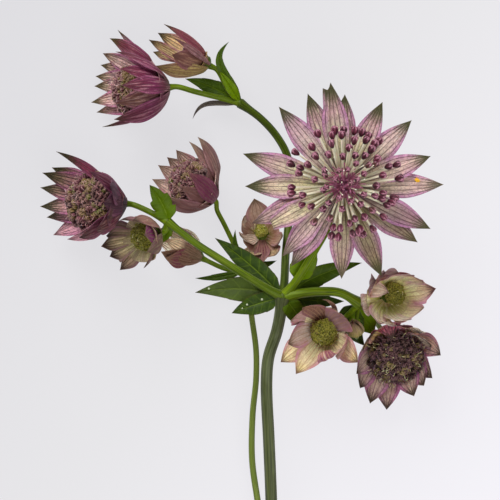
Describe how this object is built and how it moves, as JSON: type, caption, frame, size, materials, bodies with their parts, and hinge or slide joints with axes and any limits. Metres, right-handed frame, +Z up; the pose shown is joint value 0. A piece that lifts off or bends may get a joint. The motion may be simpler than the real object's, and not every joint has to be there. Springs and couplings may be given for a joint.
{
  "type": "masterwort",
  "caption": "Cut spray of masterwort lying on its side: a branching stem with toothed leaves, carrying heads of papery bracts round cushions of small florets.",
  "frame": {"origin": "middle of the underside of the spray's box, on the surface that it lies on", "axes": "+Y along the spray, from the cut end towards the flowers; +Z up, the side that the picture shows; +X to the right in the picture"},
  "size_m": [0.0802, 0.1854, 0.0359],
  "materials": {
    "stem": "satin",
    "leaf": "satin",
    "bract_pale": "matte",
    "bract_mauve": "matte",
    "floret_maroon": "matte",
    "floret_green": "matte",
    "bud": "matte"
  },
  "bodies": {
    "root": {"stem": "stem", "leaf_upper_left": "leaf", "leaf_far_left": "leaf", "leaf_lower_left": "leaf", "leaf_right": "leaf", "leaf_under_branch": "leaf", "leaf_front": "leaf", "leaf_standing": "leaf", "leaf_left_joint": "leaf", "leaf_left_low": "leaf", "leaf_top_curl": "leaf", "leaf_top_left": "leaf", "leaf_top_small": "leaf", "leaf_top_thread": "leaf", "leaf_right_joint": "leaf", "leaf_back_up": "leaf", "leaf_back_left": "leaf", "leaf_back_right": "leaf", "star_bracts": "bract_pale", "star_florets": "floret_maroon", "left_cup_bracts": "bract_mauve", "left_cup_florets": "floret_maroon", "small_cup_bracts": "bract_mauve", "small_cup_florets": "floret_green", "upper_cup_bracts": "bract_mauve", "upper_cup_florets": "floret_maroon", "upper_bell_bracts": "bract_mauve", "upper_bell_florets": "floret_maroon", "back_cup_bracts": "bract_mauve", "back_cup_florets": "floret_maroon", "back_bud_bracts": "bract_pale", "back_bud_florets": "floret_maroon", "back_star_bracts": "bract_pale", "back_star_florets": "floret_green", "right_cup_bracts": "bract_pale", "right_cup_florets": "floret_green", "low_cup_bracts": "bract_pale", "low_cup_florets": "floret_green", "dark_head_bracts": "bract_mauve", "dark_head_florets": "floret_maroon", "tiny_bud": "bud"}
  },
  "joints": []
}
